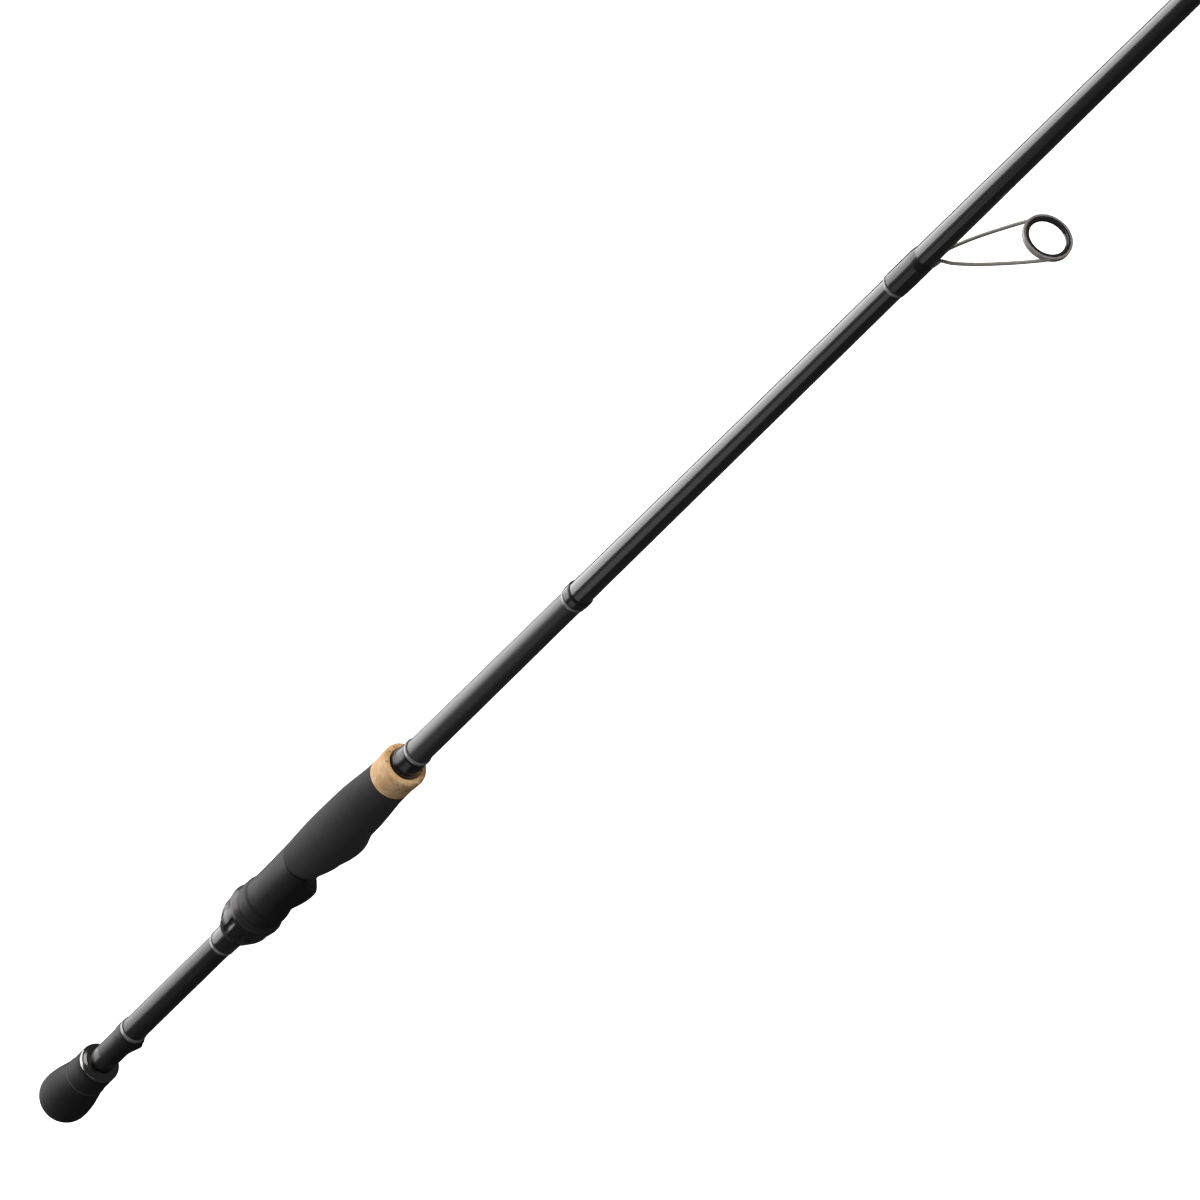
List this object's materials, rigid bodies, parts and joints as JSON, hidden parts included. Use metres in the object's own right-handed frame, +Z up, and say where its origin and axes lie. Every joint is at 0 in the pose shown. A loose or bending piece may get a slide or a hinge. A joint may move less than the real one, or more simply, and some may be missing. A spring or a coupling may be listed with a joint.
{
  "type": "spinning rod",
  "caption": "One-piece spinning rod with a split grip, a down-locking reel seat with a moving hood, a keeper fin, single-foot wire guides and a tip-top.",
  "frame": {"origin": "centre of the butt cap's flat end, on the rod's axis", "axes": "+X along the rod from the butt to the tip, +Z up, the reel foot and the guides hang on the -Z side"},
  "size_m": [2.134, 0.024, 0.0563],
  "materials": {
    "carbon_gloss": "clear-coated woven carbon, near black",
    "foam": "matte black foam rubber",
    "seat_plastic": "soft matte charcoal",
    "nut_plastic": "semi-gloss black",
    "satin_metal": "satin anodised grey",
    "bright_metal": "polished",
    "frame_wire": "polished stainless wire",
    "ceramic": "polished dark ceramic",
    "thread_wrap": "black thread under clear epoxy",
    "cork": "sanded cork",
    "arbor_foam": "rigid foam"
  },
  "bodies": {
    "rod": {"blank": "carbon_gloss", "butt_cap": "foam", "butt_ring": "bright_metal", "hook_keeper": "seat_plastic", "keeper_ring": "bright_metal", "seat_trim_ring": "bright_metal", "seat_winding": "thread_wrap", "reel_seat": "seat_plastic", "rear_arbor": "arbor_foam", "middle_arbor": "arbor_foam", "front_arbor": "arbor_foam", "foregrip": "foam", "cork_ring": "cork", "winding_check": "nut_plastic", "check_ring": "bright_metal", "label_ring": "bright_metal", "label_winding": "thread_wrap", "stripper_ring": "bright_metal", "tip_top": "frame_wire", "tip_top_insert": "ceramic", "tip_top_winding": "thread_wrap", "guide_1_frame": "frame_wire", "guide_1_insert": "ceramic", "guide_1_winding": "thread_wrap", "guide_2_frame": "frame_wire", "guide_2_insert": "ceramic", "guide_2_winding": "thread_wrap", "guide_3_frame": "frame_wire", "guide_3_insert": "ceramic", "guide_3_winding": "thread_wrap", "guide_4_frame": "frame_wire", "guide_4_insert": "ceramic", "guide_4_winding": "thread_wrap", "guide_5_frame": "frame_wire", "guide_5_insert": "ceramic", "guide_5_winding": "thread_wrap", "guide_6_frame": "frame_wire", "guide_6_insert": "ceramic", "guide_6_winding": "thread_wrap", "guide_7_frame": "frame_wire", "guide_7_insert": "ceramic", "guide_7_winding": "thread_wrap"},
    "hood": {"moving_hood": "seat_plastic"},
    "nut": {"lock_nut": "nut_plastic", "nut_ring": "satin_metal"}
  },
  "joints": [
    {"name": "nut_turn", "type": "hinge", "parent": "hood", "child": "nut", "pos_m": [0.1805, 0, 0], "axis": [1, 0, 0], "range_deg": [-2170, 0]},
    {"name": "hood_slide", "type": "slide", "parent": "rod", "child": "hood", "axis": [1, 0, 0], "range_m": [-0.012, 0]}
  ],
  "couplings": [
    {"joint": "nut_turn", "follows": "hood_slide", "rad_per_m": 3141.6}
  ]
}
